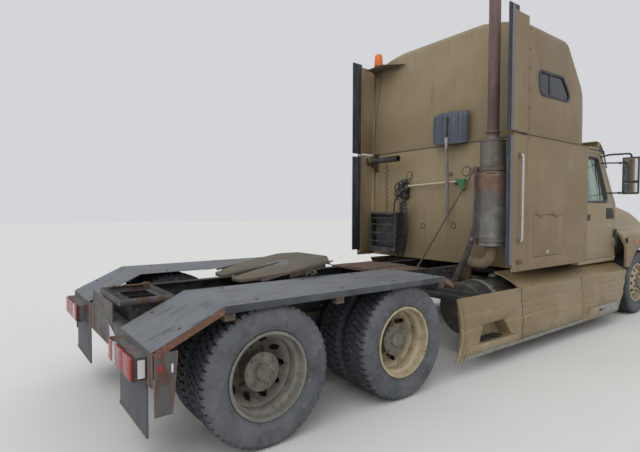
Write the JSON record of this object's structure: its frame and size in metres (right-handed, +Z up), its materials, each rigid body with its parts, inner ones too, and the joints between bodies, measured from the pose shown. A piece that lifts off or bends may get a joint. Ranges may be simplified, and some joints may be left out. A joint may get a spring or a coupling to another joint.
{
  "type": "tractor unit",
  "caption": "Long-nosed road tractor unit with a high-roof sleeper cab, twin rear wheels, plate fenders, a fifth wheel, side skirts, a tilting hood, opening doors and a single exhaust stack",
  "frame": {"origin": "on the ground below the middle of the overall length, midway between the sides", "axes": "+X towards the nose, +Y towards the driver's left, +Z up"},
  "size_m": [8.8, 2.875, 3.9203],
  "materials": {
    "body_paint": "weathered tan paint",
    "fender_paint": "dusty grey paint with rusty edges",
    "frame_paint": "dull dark paint",
    "dark_paint": "dull black paint",
    "cream_rim": "cream paint with rust",
    "grey_rim": "grey paint with rust",
    "cast_steel": "grimy casting",
    "rusty_steel": "rusty",
    "bright_steel": "dulled steel",
    "tank_aluminium": "dull aluminium",
    "tyre": "worn, dusty rubber",
    "rubber": "aged black rubber",
    "black_plastic": "textured black plastic",
    "beacon_plastic": "clear orange plastic",
    "red_lens": "red lens",
    "clear_lens": "clear lens",
    "glass": "tinted glass",
    "trim_fabric": "woven trim"
  },
  "bodies": {
    "chassis": {"axles": "cast_steel", "beacon": "beacon_plastic", "bumper": "body_paint", "bunk": "trim_fabric", "cab_floor": "dark_paint", "cab_glass": "glass", "cab_pillars": "body_paint", "cab_roof": "body_paint", "crossmembers": "frame_paint", "curly_cable": "rubber", "dashboard": "black_plastic", "engine": "cast_steel", "exhaust_pipes": "rusty_steel", "extender_rubbers": "rubber", "fenders": "fender_paint", "fifth_wheel_base": "cast_steel", "frame_rails": "frame_paint", "grab_handles": "bright_steel", "hose_coil": "rubber", "mud_flaps": "rubber", "muffler": "bright_steel", "rear_beam": "fender_paint", "seats": "trim_fabric", "shovel": "frame_paint", "side_extenders": "body_paint", "skirts": "body_paint", "sleeper_rear_wall": "body_paint", "sleeper_roof": "body_paint", "sleeper_sides": "body_paint", "suspension": "cast_steel", "tail_lamp_lenses": "red_lens", "tanks": "tank_aluminium", "wall_fittings": "dark_paint"},
    "hood": {"hood": "body_paint", "headlamps": "clear_lens"},
    "door_left": {"door_left": "body_paint", "door_glass_left": "glass", "mirror_left": "black_plastic"},
    "door_right": {"door_right": "body_paint", "door_glass_right": "glass", "mirror_right": "black_plastic"},
    "luggage_door_left": {"luggage_door_left": "body_paint"},
    "luggage_door_right": {"luggage_door_right": "body_paint"},
    "fifth_wheel_plate": {"fifth_wheel_plate": "rusty_steel"},
    "knuckle_left": {"knuckle_left": "cast_steel"},
    "knuckle_right": {"knuckle_right": "cast_steel"},
    "steer_wheel_left": {"steer_rim_left": "grey_rim", "steer_tyre_left": "tyre"},
    "steer_wheel_right": {"steer_rim_right": "grey_rim", "steer_tyre_right": "tyre"},
    "front_drive_wheel_left": {"front_drive_rims_left": "cream_rim", "front_drive_tyres_left": "tyre"},
    "front_drive_wheel_right": {"front_drive_rims_right": "cream_rim", "front_drive_tyres_right": "tyre"},
    "rear_drive_wheel_left": {"rear_drive_rims_left": "grey_rim", "rear_drive_tyres_left": "tyre"},
    "rear_drive_wheel_right": {"rear_drive_rims_right": "grey_rim", "rear_drive_tyres_right": "tyre"}
  },
  "joints": [
    {"name": "hood_tilt", "type": "hinge", "parent": "chassis", "child": "hood", "pos_m": [4.3, 0, 0.69], "axis": [0, 1, 0], "range_deg": [0, 55]},
    {"name": "door_left_swing", "type": "hinge", "parent": "chassis", "child": "door_left", "pos_m": [2.487, 1.072, 1.3], "axis": [0, 0, -1], "range_deg": [0, 65]},
    {"name": "door_right_swing", "type": "hinge", "parent": "chassis", "child": "door_right", "pos_m": [2.487, -1.072, 1.3], "axis": [0, 0, 1], "range_deg": [0, 65]},
    {"name": "luggage_left_lift", "type": "hinge", "parent": "chassis", "child": "luggage_door_left", "pos_m": [0.2, 1.219, 1.5575], "axis": [1, 0, 0], "range_deg": [0, 85]},
    {"name": "luggage_right_lift", "type": "hinge", "parent": "chassis", "child": "luggage_door_right", "pos_m": [0.2, -1.219, 1.5575], "axis": [-1, 0, 0], "range_deg": [0, 85]},
    {"name": "fifth_wheel_tilt", "type": "hinge", "parent": "chassis", "child": "fifth_wheel_plate", "pos_m": [-2.72, 0, 1.022], "axis": [0, 1, 0], "range_deg": [0, 18]},
    {"name": "steer_left", "type": "hinge", "parent": "chassis", "child": "knuckle_left", "pos_m": [3.21, 0.87, 0.486], "axis": [0, 0, 1], "range_deg": [-30, 30]},
    {"name": "steer_right", "type": "hinge", "parent": "chassis", "child": "knuckle_right", "pos_m": [3.21, -0.87, 0.486], "axis": [0, 0, 1], "range_deg": [-30, 30]},
    {"name": "steer_wheel_left_spin", "type": "hinge", "parent": "knuckle_left", "child": "steer_wheel_left", "pos_m": [3.21, 1.04, 0.486], "axis": [0, 1, 0], "continuous": true},
    {"name": "steer_wheel_right_spin", "type": "hinge", "parent": "knuckle_right", "child": "steer_wheel_right", "pos_m": [3.21, -1.04, 0.486], "axis": [0, 1, 0], "continuous": true},
    {"name": "front_drive_left_spin", "type": "hinge", "parent": "chassis", "child": "front_drive_wheel_left", "pos_m": [-2.2, 0.913, 0.486], "axis": [0, 1, 0], "continuous": true},
    {"name": "front_drive_right_spin", "type": "hinge", "parent": "chassis", "child": "front_drive_wheel_right", "pos_m": [-2.2, -0.913, 0.486], "axis": [0, 1, 0], "continuous": true},
    {"name": "rear_drive_left_spin", "type": "hinge", "parent": "chassis", "child": "rear_drive_wheel_left", "pos_m": [-3.52, 0.913, 0.486], "axis": [0, 1, 0], "continuous": true},
    {"name": "rear_drive_right_spin", "type": "hinge", "parent": "chassis", "child": "rear_drive_wheel_right", "pos_m": [-3.52, -0.913, 0.486], "axis": [0, 1, 0], "continuous": true}
  ],
  "couplings": [
    {"joint": "steer_right", "follows": "steer_left", "ratio": 1}
  ]
}
